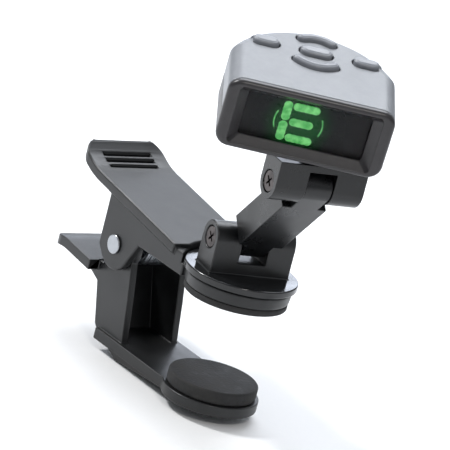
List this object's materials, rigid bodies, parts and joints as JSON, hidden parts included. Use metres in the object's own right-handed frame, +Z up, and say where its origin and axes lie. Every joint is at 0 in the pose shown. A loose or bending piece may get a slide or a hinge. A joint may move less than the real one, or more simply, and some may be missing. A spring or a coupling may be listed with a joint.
{
  "type": "clip-on tuner",
  "caption": "Spring clip with round rubber jaw pads, a turning turret and a two-hinge arm that carries a small display head with push buttons on top.",
  "frame": {"origin": "centre of the upper jaw pad's gripping face, on the turret's axis", "axes": "+X from the squeeze handles to the jaw tips, +Y across the clip, +Z up through the turret"},
  "size_m": [0.0724, 0.0336, 0.0709],
  "materials": {
    "clip_black": "satin moulded",
    "turret_black": "polished moulded",
    "arm_black": "satin moulded",
    "case_grey": "satin painted",
    "case_black": "fine texture",
    "bezel_black": "satin",
    "button_grey": "satin",
    "rubber_black": "matt",
    "steel": "satin",
    "steel_blackened": "black oxide",
    "spring_steel": "drawn wire",
    "nylon_white": "plain",
    "lens_clear": "polished",
    "display_black": "gloss",
    "lit_green": "lit",
    "board_green": "solder mask",
    "chip_black": "moulded",
    "switch_metal": "stamped",
    "brass": "plain",
    "cell_steel": "nickel plated",
    "contact_plate": "plated"
  },
  "bodies": {
    "upper_clip": {"upper_clip_lever": "clip_black", "clip_pivot_pin": "steel", "clip_spring": "spring_steel", "upper_jaw_pad": "rubber_black"},
    "lower_clip": {"lower_clip_lever": "clip_black", "lower_jaw_pad": "rubber_black"},
    "turret": {"turret": "turret_black", "turret_screw": "steel", "turret_washer": "steel", "lower_hinge_screw": "steel_blackened", "lower_hinge_nut": "steel_blackened", "lower_hinge_washers": "nylon_white"},
    "arm": {"arm": "arm_black"},
    "bracket": {"head_bracket": "arm_black", "upper_hinge_screw": "steel_blackened", "upper_hinge_nut": "steel_blackened", "upper_hinge_washers": "nylon_white", "swivel_screw": "steel", "swivel_washer": "steel"},
    "head": {"bottom_case": "case_black", "top_case": "case_grey", "front_bezel": "bezel_black", "display_lens": "lens_clear", "display_panel": "display_black", "lit_segments": "lit_green", "circuit_board": "board_green", "tact_switches": "switch_metal", "main_chip": "chip_black", "piezo_sensor": "brass", "battery_contacts": "contact_plate", "case_screws": "steel"},
    "battery_drawer": {"battery_drawer": "case_black", "coin_cell": "cell_steel"},
    "centre_button": {"centre_button": "button_grey"},
    "front_button": {"front_button": "button_grey"},
    "rear_button": {"rear_button": "button_grey"},
    "left_button": {"left_button": "button_grey"},
    "right_button": {"right_button": "button_grey"}
  },
  "joints": [
    {"name": "clip_hinge", "type": "hinge", "parent": "upper_clip", "child": "lower_clip", "pos_m": [-0.026, 0, -0.001], "axis": [0, 1, 0], "range_deg": [-23, 35], "stiffness_Nm_per_rad": 0.3, "deforming": ["clip_spring"]},
    {"name": "turret_swivel", "type": "hinge", "parent": "upper_clip", "child": "turret", "pos_m": [0, 0, 0], "axis": [0, 0, 1], "continuous": true},
    {"name": "arm_tilt", "type": "hinge", "parent": "turret", "child": "arm", "pos_m": [0, 0, 0.0105], "axis": [0.2079, 0.9781, 0], "range_deg": [-45, 20]},
    {"name": "head_tilt", "type": "hinge", "parent": "arm", "child": "bracket", "pos_m": [0.01605, -0.00341, 0.0269], "axis": [0.2079, 0.9781, 0], "range_deg": [-45, 45]},
    {"name": "head_swivel", "type": "hinge", "parent": "bracket", "child": "head", "pos_m": [0.01605, -0.00341, 0.0269], "axis": [0, 0, -1], "range_deg": [-112, 68]},
    {"name": "drawer_slide", "type": "slide", "parent": "head", "child": "battery_drawer", "axis": [-0.8008, 0.5401, 0.2588], "range_m": [0, 0.014]},
    {"name": "centre_press", "type": "slide", "parent": "head", "child": "centre_button", "axis": [-0.2146, 0.1447, -0.9659], "range_m": [0, 0.0003], "stiffness_N_per_m": 1500},
    {"name": "front_press", "type": "slide", "parent": "head", "child": "front_button", "axis": [-0.2146, 0.1447, -0.9659], "range_m": [0, 0.0003], "stiffness_N_per_m": 1500},
    {"name": "rear_press", "type": "slide", "parent": "head", "child": "rear_button", "axis": [-0.2146, 0.1447, -0.9659], "range_m": [0, 0.0003], "stiffness_N_per_m": 1500},
    {"name": "left_press", "type": "slide", "parent": "head", "child": "left_button", "axis": [-0.2146, 0.1447, -0.9659], "range_m": [0, 0.0003], "stiffness_N_per_m": 1500},
    {"name": "right_press", "type": "slide", "parent": "head", "child": "right_button", "axis": [-0.2146, 0.1447, -0.9659], "range_m": [0, 0.0003], "stiffness_N_per_m": 1500}
  ]
}
